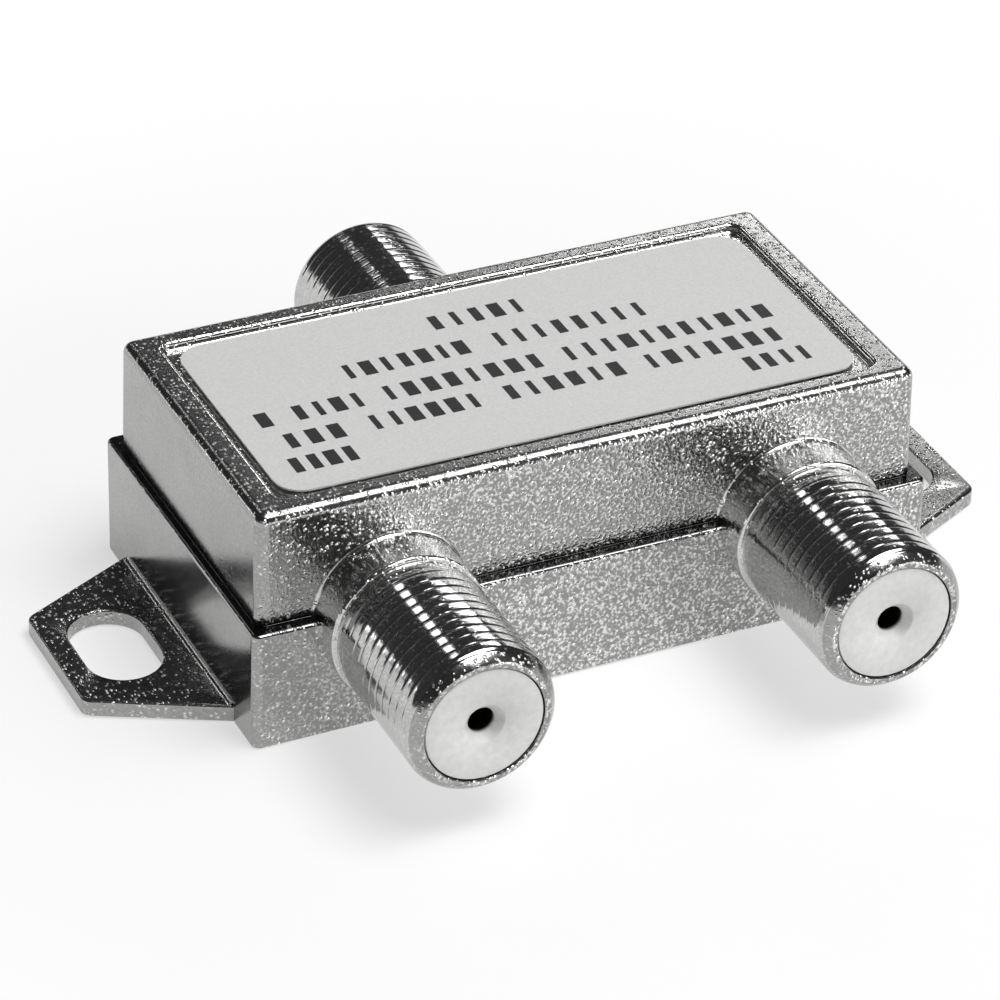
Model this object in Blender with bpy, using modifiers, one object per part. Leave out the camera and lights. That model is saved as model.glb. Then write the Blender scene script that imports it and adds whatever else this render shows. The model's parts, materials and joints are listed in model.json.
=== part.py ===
"""Two-way F-type signal splitter.

A nickel-plated zinc casting with three threaded ports, two mounting ears and a
label, closed from below by a stamped plate. The board with the divider hangs
in the cavity, soldered to the tails of the three centre contacts.

Axes: X runs along the long side, Y from the output side to the input side,
Z up. The origin is on the mounting plane, under the middle of the casting.
Lengths are in metres.
"""

import math

import bmesh
import bpy
from mathutils import Matrix, Vector

# Clearances
SEAT_GAP = 0.0003
BORE_GAP = 0.0002
LABEL_GAP = 0.00015

# Casting, upper and lower halves
HEIGHT = 0.01537
LEDGE_HEIGHT = 0.00794
UPPER_LENGTH = 0.0432
UPPER_DEPTH = 0.0219
DRAFT = 0.00011
LEDGE_END = 0.0006
LEDGE_SIDE = 0.00092
UPPER_CORNER = 0.00075
TOP_ROUND = 0.00046
LOWER_CORNER = 0.00055
LEDGE_ROUND = 0.0003

# Recess in the top face, and the label in it
BORDER_END = 0.0020
BORDER_SIDE = 0.0016
RECESS_DEPTH = 0.0005
RECESS_CORNER = 0.00065
LABEL_MARGIN = 0.00055
LABEL_THICKNESS = 0.00012
LABEL_CORNER = 0.00175

# Mounting ears
EAR_TIP = 0.0303
EAR_TIP_WIDTH = 0.0096
EAR_ROOT_WIDTH = 0.01765
EAR_THICKNESS = 0.0011
EAR_CORNER = 0.00085
SLOT_WIDTH = 0.0047
SLOT_LENGTH = 0.0076
SLOT_FROM_TIP = 0.0039

# Ports
OUTPUT_SPACING = 0.0265
PORT_HEIGHT = 0.00738
PORT_TIP = 0.0244
BOSS_RADIUS = 0.00493
BOSS_LENGTH = 0.0028
COLLAR_RADIUS = 0.00464
COLLAR_LENGTH = 0.0008
NECK_LENGTH = 0.0003
THREAD_RADIUS = 0.00476
THREAD_DEPTH = 0.0002
THREAD_PITCH = 0.000855
THREAD_RUNOUT = 0.0001
RIM_RADIUS = 0.00422
RIM_LENGTH = 0.0005
EDGE_CHAMFER = 0.0002
BORE_RADIUS = 0.00378
BORE_DEPTH = 0.0088
WEB_HOLE_RADIUS = 0.0021

# Cavity, cover seat and board posts
WALL = 0.0014
ROOF = 0.0016
CAVITY_CORNER = 0.001
COVER_THICKNESS = 0.0008
COVER_INSET = 0.0002
COVER_RIM = 0.0009
POST_LENGTH = 0.0026
POST_DEPTH = 0.0030

# Insulators
PLUG_RECESS = 0.0002
PLUG_CHAMFER = 0.00012
DISH_RADIUS = 0.0013
DISH_DEPTH = 0.0007
WIRE_HOLE_RADIUS = 0.00075
WIRE_HOLE_DEPTH = 0.0019
SOCKET_WALL = 0.0006
PLUG_TAIL_INSET = 0.00025

# Centre contacts
CONTACT_BORE = 0.00055
CONTACT_SOLID = 0.0022
CONTACT_PROUD = 0.0004
CONTACT_SLIT = 0.00025
CONTACT_SLIT_LENGTH = 0.006
TAIL_WIDTH = 0.0016
TAIL_THICKNESS = 0.0005
TAIL_REACH = 0.0032

# Board
BOARD_THICKNESS = 0.001
BOARD_END_GAP = 0.0007
BOARD_SIDE_GAP = 0.0008

# Ferrite rings and their windings
RING_RADIUS = 0.0026
RING_HALF_WIDTH = 0.00075
RING_HALF_HEIGHT = 0.0010
WIRE_RADIUS = 0.0002
WINDING_TURNS = 5
RING_SPACING = 0.011
RING_FORWARD = 0.0015

# Power chokes
CHOKE_RADIUS = 0.0012
CHOKE_TURNS = 4
CHOKE_PITCH = 0.0009
CHOKE_X = 0.0142
CHOKE_Y = 0.0016

# Chip parts: body and end caps
CHIP_LENGTH = 0.0032
CHIP_WIDTH = 0.0016
CHIP_HEIGHT = 0.0007
CHIP_CAP = 0.0005
CHIP_CAP_PROUD = 0.00005
RESISTOR_X = 0.0055
RESISTOR_Y = -0.0046
INPUT_CHIP_Y = 0.0039
OUTPUT_CHIP_Y = -0.0039

# Diodes
DIODE_LENGTH = 0.0043
DIODE_WIDTH = 0.0026
DIODE_HEIGHT = 0.0021
DIODE_TAB_WIDTH = 0.0015
DIODE_TAB_HEIGHT = 0.0009
DIODE_TAB_PROUD = 0.0006
DIODE_X = 0.0142
DIODE_Y = 0.0063

# Facets round a turned piece
PORT_STEPS = 40
PLUG_STEPS = 28
CONTACT_STEPS = 16
RING_STEPS = 28

# Sizes that follow from the ones above
upper_x = UPPER_LENGTH / 2
upper_y = UPPER_DEPTH / 2
wall_y = upper_y + DRAFT
lower_x = upper_x + DRAFT + LEDGE_END
lower_y = upper_y + DRAFT + LEDGE_SIDE
recess_x = upper_x - BORDER_END
recess_y = upper_y - BORDER_SIDE
recess_floor = HEIGHT - RECESS_DEPTH
cavity_x = upper_x - WALL
cavity_y = upper_y - WALL
cavity_top = recess_floor - ROOF
cover_x = lower_x - COVER_RIM - SEAT_GAP
cover_y = lower_y - COVER_RIM - SEAT_GAP
cover_top = COVER_INSET + COVER_THICKNESS
cover_seat = cover_top + SEAT_GAP
output_x = OUTPUT_SPACING / 2
web_depth = PORT_TIP - cavity_y
root_radius = THREAD_RADIUS - THREAD_DEPTH
board_x = cavity_x - BOARD_END_GAP
board_y = cavity_y - BOARD_SIDE_GAP
board_bottom = PORT_HEIGHT + TAIL_THICKNESS / 2 + SEAT_GAP
board_top = board_bottom + BOARD_THICKNESS
post_bottom = board_top + SEAT_GAP
parts_top = board_bottom - SEAT_GAP
plug_radius = BORE_RADIUS - BORE_GAP
plug_tail_radius = WEB_HOLE_RADIUS - BORE_GAP
socket_radius = plug_tail_radius - SOCKET_WALL
contact_radius = socket_radius - BORE_GAP

for old in list(bpy.data.objects):
    bpy.data.objects.remove(old, do_unlink=True)

parts = bpy.data.collections.new("rf_power_splitter")
cutters = bpy.data.collections.new("cutters")
bpy.context.scene.collection.children.link(parts)
bpy.context.scene.collection.children.link(cutters)


def make_material(name, colour, roughness, metallic):
    mat = bpy.data.materials.new(name)
    mat.use_nodes = True
    shader = mat.node_tree.nodes["Principled BSDF"]
    shader.inputs["Base Color"].default_value = (*colour, 1.0)
    shader.inputs["Roughness"].default_value = roughness
    shader.inputs["Metallic"].default_value = metallic
    return mat


nickel = make_material("nickel_plated_zinc", (0.55, 0.55, 0.54), 0.32, 1.0)
tin = make_material("tinned_steel", (0.62, 0.62, 0.61), 0.28, 1.0)
paper = make_material("satin_label", (0.78, 0.78, 0.77), 0.5, 0.0)
plastic = make_material("insulator_plastic", (0.74, 0.74, 0.72), 0.45, 0.0)
bronze = make_material("contact_bronze", (0.72, 0.55, 0.30), 0.3, 1.0)
laminate = make_material("board_laminate", (0.42, 0.33, 0.16), 0.55, 0.0)
ferrite = make_material("ferrite", (0.06, 0.055, 0.05), 0.5, 0.0)
enamel = make_material("enamelled_copper", (0.62, 0.24, 0.10), 0.3, 0.8)
black_film = make_material("resistor_film", (0.03, 0.03, 0.03), 0.4, 0.0)
tan_ceramic = make_material("capacitor_ceramic", (0.50, 0.34, 0.19), 0.45, 0.0)
moulding = make_material("diode_moulding", (0.04, 0.04, 0.045), 0.5, 0.0)


def add_part(name, mesh, mat):
    obj = bpy.data.objects.new(name, mesh)
    parts.objects.link(obj)
    obj.data.materials.append(mat)
    return obj


def add_guide(name, mesh):
    obj = bpy.data.objects.new(name, mesh)
    cutters.objects.link(obj)
    obj.hide_render = True
    obj.display_type = "WIRE"
    return obj


def box_mesh(name, x0, x1, y0, y1, z0, z1):
    mesh = bpy.data.meshes.new(name)
    bm = bmesh.new()
    middle = Matrix.Translation(((x0 + x1) / 2, (y0 + y1) / 2, (z0 + z1) / 2))
    size = Matrix.Diagonal((x1 - x0, y1 - y0, z1 - z0, 1.0))
    bmesh.ops.create_cube(bm, size=1.0, matrix=middle @ size)
    bm.to_mesh(mesh)
    bm.free()
    return mesh


def narrow_top(mesh, amount):
    """Draw the upper face in by the same amount on all four sides."""
    top = max(v.co.z for v in mesh.vertices)
    for v in mesh.vertices:
        if v.co.z > top - 1e-7:
            v.co.x -= math.copysign(amount, v.co.x)
            v.co.y -= math.copysign(amount, v.co.y)


def round_edges(obj, upright, top, segments=3):
    """Bevel the upright edges and the edges of the upper face."""
    mesh = obj.data
    widest = max(upright, top)
    high = max(v.co.z for v in mesh.vertices)
    weights = mesh.attributes.new("bevel_weight_edge", "FLOAT", "EDGE")
    for edge in mesh.edges:
        a, b = (mesh.vertices[i].co for i in edge.vertices)
        if abs(a.z - b.z) > 1e-6:
            weights.data[edge.index].value = upright / widest
        elif a.z > high - 1e-7:
            weights.data[edge.index].value = top / widest
    bevel = obj.modifiers.new("rounding", "BEVEL")
    bevel.limit_method = "WEIGHT"
    bevel.offset_type = "OFFSET"
    bevel.width = widest
    bevel.segments = segments
    return obj


def turned_mesh(name, profile, closed=False):
    mesh = bpy.data.meshes.new(name)
    points = [(r, 0.0, z) for r, z in profile]
    edges = [(i, i + 1) for i in range(len(points) - 1)]
    if closed:
        edges.append((len(points) - 1, 0))
    mesh.from_pydata(points, edges, [])
    return mesh


def threaded_mesh(name, lead, tail, start, end, steps):
    """Solid bar along Z with a one-start, right-hand thread on its middle stretch.

    lead and tail are the (radius, z) rows above and below the thread, which
    runs down from z = start to z = end.
    """
    verts = []
    faces = []

    def place(radius, z, step):
        angle = -2 * math.pi * step / steps
        verts.append((radius * math.cos(angle), radius * math.sin(angle), z))
        return len(verts) - 1

    def circles(rows):
        return [[place(r, z, i) for i in range(steps)] for r, z in rows]

    def skin(*corners):
        faces.append(corners)

    total = int((start - end) / THREAD_PITCH * steps)
    drop = THREAD_PITCH / steps
    upper = circles(lead)
    root = [place(root_radius, start - drop * i, i) for i in range(total + 1)]
    crest = [place(THREAD_RADIUS, start - drop * (i + steps / 2), i)
             for i in range(total - steps + 1)]
    lower = circles(tail)
    for group in (upper, lower):
        for a, b in zip(group, group[1:]):
            for i in range(steps):
                j = (i + 1) % steps
                skin(a[i], a[j], b[j], b[i])
    for i in range(total - steps):
        skin(root[i], root[i + 1], crest[i + 1], crest[i])
        skin(crest[i], crest[i + 1], root[i + 1 + steps], root[i + steps])
    # Plain bands from the rows to the first and last turn, and the thread's two ends
    first = upper[-1]
    last = lower[0]
    for i in range(steps - 1):
        skin(first[i], first[i + 1], root[i + 1], root[i])
        k = total - i - 1
        skin(root[k], root[k + 1], last[(k + 1) % steps], last[k % steps])
    k = total - steps
    skin(first[-1], first[0], root[0], root[steps], root[steps - 1])
    skin(root[k], root[k + 1], last[(k + 1) % steps], last[k % steps], root[total])
    skin(root[0], crest[0], root[steps])
    skin(root[total], crest[-1], root[total - steps])
    skin(*reversed(upper[0]))
    skin(*lower[-1])
    mesh = bpy.data.meshes.new(name)
    mesh.from_pydata(verts, [], faces)
    bm = bmesh.new()
    bm.from_mesh(mesh)
    bmesh.ops.recalc_face_normals(bm, faces=bm.faces)
    bm.to_mesh(mesh)
    bm.free()
    return mesh


def spin(obj, steps):
    screw = obj.modifiers.new("turning", "SCREW")
    screw.steps = steps
    screw.render_steps = steps
    screw.use_merge_vertices = True
    screw.merge_threshold = 1e-6
    screw.use_smooth_shade = True
    return obj


def boolean(obj, other, operation):
    mod = obj.modifiers.new(other.name, "BOOLEAN")
    mod.operation = operation
    mod.solver = "EXACT"
    mod.object = other


def shade_round(obj, degrees=35.0):
    obj.data.shade_smooth()
    obj.data.set_sharp_from_angle(angle=math.radians(degrees))


def arc(cx, cy, radius, start, end, count):
    """Points on an arc, angles in degrees."""
    out = []
    for i in range(count + 1):
        a = math.radians(start + (end - start) * i / count)
        out.append(Vector((cx + radius * math.cos(a), cy + radius * math.sin(a))))
    return out


def rounded_polygon(corners, radii, count=4):
    """Outline with each corner replaced by a tangent arc."""
    out = []
    total = len(corners)
    for i, corner in enumerate(corners):
        radius = radii[i]
        corner = Vector(corner)
        if radius <= 0:
            out.append(corner)
            continue
        before = (Vector(corners[i - 1]) - corner).normalized()
        after = (Vector(corners[(i + 1) % total]) - corner).normalized()
        half = before.angle(after) / 2
        bisector = (before + after).normalized()
        centre = corner + bisector * (radius / math.sin(half))
        tangent = radius / math.tan(half)
        a = corner + before * tangent - centre
        b = corner + after * tangent - centre
        start = math.atan2(a.y, a.x)
        sweep = math.atan2(a.x * b.y - a.y * b.x, a.dot(b))
        for k in range(count + 1):
            angle = start + sweep * k / count
            offset = Vector((math.cos(angle), math.sin(angle))) * radius
            out.append(centre + offset)
    return out


def slot_outline(cx, cy, width, length, count=12):
    """Slot with round ends, long along Y."""
    radius = width / 2
    straight = length / 2 - radius
    upper = arc(cx, cy + straight, radius, 0, 180, count)
    lower = arc(cx, cy - straight, radius, 180, 360, count)
    return upper + lower


def plate_mesh(name, outlines, z0, z1):
    """Flat outline, with any inner outlines as holes, given a thickness."""
    curve = bpy.data.curves.new(name + "_outline", "CURVE")
    curve.dimensions = "2D"
    curve.fill_mode = "BOTH"
    curve.extrude = (z1 - z0) / 2
    for outline in outlines:
        spline = curve.splines.new("POLY")
        spline.points.add(len(outline) - 1)
        for point, co in zip(spline.points, outline):
            point.co = (co.x, co.y, 0.0, 1.0)
        spline.use_cyclic_u = True
    flat = bpy.data.objects.new(name + "_outline", curve)
    cutters.objects.link(flat)
    bpy.context.view_layer.update()
    ready = flat.evaluated_get(bpy.context.evaluated_depsgraph_get())
    mesh = bpy.data.meshes.new_from_object(ready)
    mesh.name = name
    bm = bmesh.new()
    bm.from_mesh(mesh)
    bmesh.ops.remove_doubles(bm, verts=bm.verts, dist=1e-6)
    bmesh.ops.translate(bm, verts=bm.verts, vec=(0.0, 0.0, (z0 + z1) / 2))
    bmesh.ops.recalc_face_normals(bm, faces=bm.faces)
    bm.to_mesh(mesh)
    bm.free()
    bpy.data.objects.remove(flat, do_unlink=True)
    return mesh


def wire_part(name, points, radius, mat):
    curve = bpy.data.curves.new(name, "CURVE")
    curve.dimensions = "3D"
    curve.bevel_depth = radius
    curve.bevel_resolution = 1
    curve.use_fill_caps = True
    spline = curve.splines.new("POLY")
    spline.points.add(len(points) - 1)
    for point, co in zip(spline.points, points):
        point.co = (*co, 1.0)
    spline.use_smooth = True
    return add_part(name, curve, mat)


# Each port: which way it faces, and where its tip's centre is. A piece that is
# turned about Z and rotated this way has its +Z pointing out of the port.
PORTS = {
    "output_left": ((-output_x, -PORT_TIP, PORT_HEIGHT), (math.pi / 2, 0.0, 0.0)),
    "output_right": ((output_x, -PORT_TIP, PORT_HEIGHT), (math.pi / 2, 0.0, 0.0)),
    "input": ((0.0, PORT_TIP, PORT_HEIGHT), (-math.pi / 2, 0.0, 0.0)),
}

# Housing: lower half, upper half, ear plate and ports joined into one casting
housing = add_part(
    "housing",
    box_mesh("housing", -lower_x, lower_x, -lower_y, lower_y, 0.0, LEDGE_HEIGHT),
    nickel,
)
round_edges(housing, LOWER_CORNER, LEDGE_ROUND)

upper_mesh = box_mesh(
    "upper_half",
    -upper_x - DRAFT, upper_x + DRAFT,
    -wall_y, wall_y,
    LEDGE_HEIGHT - EAR_THICKNESS, HEIGHT,
)
narrow_top(upper_mesh, DRAFT)
upper_half = round_edges(add_guide("upper_half", upper_mesh), UPPER_CORNER, TOP_ROUND)
boolean(housing, upper_half, "UNION")

ear_corners = [
    (EAR_TIP, -EAR_TIP_WIDTH / 2),
    (EAR_TIP, EAR_TIP_WIDTH / 2),
    (lower_x, EAR_ROOT_WIDTH / 2),
    (-lower_x, EAR_ROOT_WIDTH / 2),
    (-EAR_TIP, EAR_TIP_WIDTH / 2),
    (-EAR_TIP, -EAR_TIP_WIDTH / 2),
    (-lower_x, -EAR_ROOT_WIDTH / 2),
    (lower_x, -EAR_ROOT_WIDTH / 2),
]
ear_radii = [EAR_CORNER, EAR_CORNER, 0, 0, EAR_CORNER, EAR_CORNER, 0, 0]
slot_x = EAR_TIP - SLOT_FROM_TIP
ear_outlines = [
    rounded_polygon(ear_corners, ear_radii),
    slot_outline(slot_x, 0.0, SLOT_WIDTH, SLOT_LENGTH),
    slot_outline(-slot_x, 0.0, SLOT_WIDTH, SLOT_LENGTH),
]
ears = add_guide("ears", plate_mesh("ears", ear_outlines, 0.0, EAR_THICKNESS))
boolean(housing, ears, "UNION")

boss_face = PORT_TIP - wall_y - BOSS_LENGTH
collar_face = boss_face - COLLAR_LENGTH
neck_face = collar_face - NECK_LENGTH
thread_start = RIM_LENGTH + 2 * THREAD_RUNOUT
rim_rise = root_radius - RIM_RADIUS
port_lead = [
    (RIM_RADIUS, 0.0),
    (RIM_RADIUS + rim_rise * math.sin(math.pi / 4), -RIM_LENGTH * (1 - math.cos(math.pi / 4))),
    (root_radius, -RIM_LENGTH),
    (root_radius, -thread_start + THREAD_RUNOUT),
]
port_tail = [
    (root_radius, -neck_face - THREAD_RUNOUT),
    (root_radius, -collar_face),
    (COLLAR_RADIUS, -collar_face - EDGE_CHAMFER),
    (COLLAR_RADIUS, -boss_face),
    (BOSS_RADIUS - EDGE_CHAMFER / 2, -boss_face),
    (BOSS_RADIUS, -boss_face - EDGE_CHAMFER / 2),
    (BOSS_RADIUS, -web_depth + WALL / 3),
]
for name, (place, turn) in PORTS.items():
    port = add_guide(
        "barrel_" + name,
        threaded_mesh("barrel", port_lead, port_tail, -thread_start, -neck_face, PORT_STEPS),
    )
    port.location = place
    port.rotation_euler = turn
    boolean(housing, port, "UNION")

# Recess for the label
recess = add_guide(
    "label_recess",
    box_mesh("label_recess", -recess_x, recess_x, -recess_y, recess_y,
             recess_floor, HEIGHT + WALL),
)
round_edges(recess, RECESS_CORNER, 0.0)
boolean(housing, recess, "DIFFERENCE")

# Cavity, open from below, with a wider seat for the cover
cavity = add_guide(
    "cavity",
    box_mesh("cavity", -cavity_x, cavity_x, -cavity_y, cavity_y, -WALL, cavity_top),
)
round_edges(cavity, CAVITY_CORNER, 0.0)
boolean(housing, cavity, "DIFFERENCE")

seat_x = cover_x + SEAT_GAP
seat_y = cover_y + SEAT_GAP
cover_pocket = add_guide(
    "cover_pocket",
    box_mesh("cover_pocket", -seat_x, seat_x, -seat_y, seat_y, -WALL, cover_seat),
)
boolean(housing, cover_pocket, "DIFFERENCE")

# Bores, wide for the plug and narrow through the wall. Each is turned half a facet
# from its barrel, so that no facets of the two line up.
bore_profile = [
    (0.0, WALL),
    (BORE_RADIUS, WALL),
    (BORE_RADIUS, -BORE_DEPTH),
    (WEB_HOLE_RADIUS, -BORE_DEPTH),
    (WEB_HOLE_RADIUS, -web_depth - WALL / 3),
    (0.0, -web_depth - WALL / 3),
]
for name, (place, turn) in PORTS.items():
    bore = spin(add_guide("bore_" + name, turned_mesh("bore", bore_profile)), PORT_STEPS)
    bore.location = place
    bore.rotation_euler = (turn[0], math.pi / PORT_STEPS, turn[2])
    boolean(housing, bore, "DIFFERENCE")

# Four cast posts that the board is held against
for side_x in (-1, 1):
    for side_y in (-1, 1):
        xs = sorted((side_x * (cavity_x - POST_LENGTH), side_x * (cavity_x + WALL / 3)))
        ys = sorted((side_y * (cavity_y - POST_DEPTH), side_y * (cavity_y + WALL / 3)))
        label = "post_%s_%s" % ("left" if side_x < 0 else "right",
                                "front" if side_y < 0 else "back")
        post = add_guide(
            label,
            box_mesh(label, *xs, *ys, post_bottom, cavity_top + ROOF / 3),
        )
        boolean(housing, post, "UNION")
shade_round(housing)

# Cover plate, pressed into its seat from below
cover = add_part(
    "cover_plate",
    box_mesh("cover_plate", -cover_x, cover_x, -cover_y, cover_y, COVER_INSET, cover_top),
    tin,
)

# Label
label_x = recess_x - LABEL_MARGIN
label_y = recess_y - LABEL_MARGIN
label_corners = [(label_x, -label_y), (label_x, label_y), (-label_x, label_y), (-label_x, -label_y)]
label_bottom = recess_floor + LABEL_GAP
add_part(
    "label",
    plate_mesh("label", [rounded_polygon(label_corners, [LABEL_CORNER] * 4, 6)],
               label_bottom, label_bottom + LABEL_THICKNESS),
    paper,
)

# Insulators
plug_shoulder = BORE_DEPTH - SEAT_GAP
plug_end = web_depth - PLUG_TAIL_INSET
plug_profile = [
    (plug_radius - PLUG_CHAMFER, -PLUG_RECESS),
    (plug_radius, -PLUG_RECESS - PLUG_CHAMFER),
    (plug_radius, -plug_shoulder),
    (plug_tail_radius, -plug_shoulder),
    (plug_tail_radius, -plug_end),
    (socket_radius, -plug_end),
    (socket_radius, -WIRE_HOLE_DEPTH),
    (WIRE_HOLE_RADIUS, -WIRE_HOLE_DEPTH),
    (WIRE_HOLE_RADIUS, -PLUG_RECESS - DISH_DEPTH),
    (DISH_RADIUS, -PLUG_RECESS),
]
for name, (place, turn) in PORTS.items():
    plug = add_part("insulator_" + name, turned_mesh("insulator", plug_profile, True), plastic)
    spin(plug, PLUG_STEPS)
    plug.location = place
    plug.rotation_euler = turn

# Centre contacts: a slit tube that grips the cable's wire, with a flat tail
contact_mouth = WIRE_HOLE_DEPTH + SEAT_GAP
contact_end = web_depth + CONTACT_PROUD
contact_profile = [
    (0.0, -contact_end + CONTACT_SOLID),
    (CONTACT_BORE, -contact_end + CONTACT_SOLID),
    (CONTACT_BORE, -contact_mouth),
    (contact_radius, -contact_mouth),
    (contact_radius, -contact_end),
    (0.0, -contact_end),
]
tail_start = contact_end - TAIL_THICKNESS
tail_end = contact_end + TAIL_REACH
for name, (place, turn) in PORTS.items():
    contact = add_part("contact_" + name, turned_mesh("contact", contact_profile), bronze)
    spin(contact, CONTACT_STEPS)
    contact.location = place
    contact.rotation_euler = turn
    tail = add_guide(
        "tail_" + name,
        box_mesh("tail", -TAIL_WIDTH / 2, TAIL_WIDTH / 2,
                 -TAIL_THICKNESS / 2, TAIL_THICKNESS / 2, -tail_end, -tail_start),
    )
    slit = add_guide(
        "slit_" + name,
        box_mesh("slit", -CONTACT_SLIT / 2, CONTACT_SLIT / 2, -2 * contact_radius,
                 2 * contact_radius, -contact_mouth - CONTACT_SLIT_LENGTH, 0.0),
    )
    for guide in (tail, slit):
        guide.location = place
        guide.rotation_euler = turn
    boolean(contact, tail, "UNION")
    boolean(contact, slit, "DIFFERENCE")

# Board, held against the posts, with its parts on the side that faces the cover
board = add_part(
    "circuit_board",
    box_mesh("circuit_board", -board_x, board_x, -board_y, board_y, board_bottom, board_top),
    laminate,
)


def ring_winding(centre, turns, steps_per_turn=12):
    """Wire path round a ring of nearly square section, ends on the board side."""
    half_width = RING_HALF_WIDTH + SEAT_GAP + WIRE_RADIUS
    half_height = RING_HALF_HEIGHT + SEAT_GAP + WIRE_RADIUS
    total = turns * steps_per_turn
    spread = math.radians(300.0)
    points = []
    for i in range(total + 1):
        around = spread * i / total
        section = math.pi / 2 + 2 * math.pi * turns * i / total
        c = math.cos(section)
        s = math.sin(section)
        across = half_width * math.copysign(abs(c) ** 0.6, c)
        up = half_height * math.copysign(abs(s) ** 0.6, s)
        radius = RING_RADIUS + across
        points.append((
            centre[0] + radius * math.cos(around),
            centre[1] + radius * math.sin(around),
            centre[2] + up,
        ))
    return points


ring_centre_z = parts_top - RING_HALF_HEIGHT - SEAT_GAP - 2 * WIRE_RADIUS
ring_profile = [
    (RING_RADIUS + RING_HALF_WIDTH, RING_HALF_HEIGHT),
    (RING_RADIUS + RING_HALF_WIDTH, -RING_HALF_HEIGHT),
    (RING_RADIUS - RING_HALF_WIDTH, -RING_HALF_HEIGHT),
    (RING_RADIUS - RING_HALF_WIDTH, RING_HALF_HEIGHT),
]
for name, side in (("matching", -1), ("splitting", 1)):
    centre = (side * RING_SPACING / 2, RING_FORWARD, ring_centre_z)
    core = add_part(name + "_core", turned_mesh(name + "_core", ring_profile, True), ferrite)
    spin(core, RING_STEPS)
    core.location = centre
    wire_part(name + "_winding", ring_winding(centre, WINDING_TURNS), WIRE_RADIUS, enamel)


def choke_path(centre, turns, pitch, radius, steps_per_turn=10):
    """Coil along X whose two ends are uppermost, at the board."""
    points = []
    total = turns * steps_per_turn
    start = centre[0] - turns * pitch / 2
    for i in range(total + 1):
        angle = math.pi / 2 + 2 * math.pi * i / steps_per_turn
        points.append((
            start + pitch * i / steps_per_turn,
            centre[1] + radius * math.cos(angle),
            centre[2] + radius * math.sin(angle),
        ))
    first = (points[0][0] - 2 * pitch, points[0][1], points[0][2])
    last = (points[-1][0] + 2 * pitch, points[-1][1], points[-1][2])
    return [first] + points + [last]


choke_z = parts_top - WIRE_RADIUS - CHOKE_RADIUS
for name, side in (("left", -1), ("right", 1)):
    centre = (side * CHOKE_X, CHOKE_Y, choke_z)
    path = choke_path(centre, CHOKE_TURNS, CHOKE_PITCH, CHOKE_RADIUS)
    wire_part("power_choke_" + name, path, WIRE_RADIUS, enamel)


def chip_part(name, x, y, along_y, mat):
    """Chip with a plated cap on each end, flat against the board."""
    half = CHIP_LENGTH / 2
    side = CHIP_WIDTH / 2
    body = add_part(
        name,
        box_mesh(name, -half + CHIP_CAP / 2, half - CHIP_CAP / 2, -side, side,
                 -CHIP_HEIGHT / 2, CHIP_HEIGHT / 2),
        mat,
    )
    proud = CHIP_CAP_PROUD
    place = (x, y, parts_top - CHIP_HEIGHT / 2 - proud)
    turn = (0.0, 0.0, math.pi / 2 if along_y else 0.0)
    body.location = place
    body.rotation_euler = turn
    for end in (-1, 1):
        xs = sorted((end * half, end * (half - CHIP_CAP)))
        cap = add_guide(
            "%s_cap_%s" % (name, "a" if end < 0 else "b"),
            box_mesh(name + "_cap", *xs, -side - proud, side + proud,
                     -CHIP_HEIGHT / 2 - proud, CHIP_HEIGHT / 2 + proud),
        )
        cap.location = place
        cap.rotation_euler = turn
        boolean(body, cap, "UNION")
    return body


chip_part("isolation_resistor", RESISTOR_X, RESISTOR_Y, False, black_film)
chip_part("input_capacitor", 0.0, INPUT_CHIP_Y, True, tan_ceramic)
chip_part("output_capacitor_left", -output_x, OUTPUT_CHIP_Y, True, tan_ceramic)
chip_part("output_capacitor_right", output_x, OUTPUT_CHIP_Y, True, tan_ceramic)


def diode_part(name, x, y):
    """Moulded body, narrower towards the cover, with a tab at each end."""
    half = DIODE_LENGTH / 2
    side = DIODE_WIDTH / 2
    mesh = box_mesh(name, -half, half, -side, side, -DIODE_HEIGHT, 0.0)
    for v in mesh.vertices:
        if v.co.z < -DIODE_HEIGHT / 2:
            v.co.x *= 0.93
            v.co.y *= 0.9
    body = add_part(name, mesh, moulding)
    body.location = (x, y, parts_top)
    tab_top = -(DIODE_HEIGHT - DIODE_TAB_HEIGHT) / 2
    for end in (-1, 1):
        xs = sorted((end * half * 0.6, end * (half + DIODE_TAB_PROUD)))
        tab = add_guide(
            "%s_tab_%s" % (name, "a" if end < 0 else "b"),
            box_mesh(name + "_tab", *xs, -DIODE_TAB_WIDTH / 2, DIODE_TAB_WIDTH / 2,
                     tab_top - DIODE_TAB_HEIGHT, tab_top),
        )
        tab.location = body.location
        boolean(body, tab, "UNION")
    return body


diode_part("power_diode_left", -DIODE_X, DIODE_Y)
diode_part("power_diode_right", DIODE_X, DIODE_Y)
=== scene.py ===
import json
import math
import random

import bmesh
import bpy
from mathutils import Matrix, Vector

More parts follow.
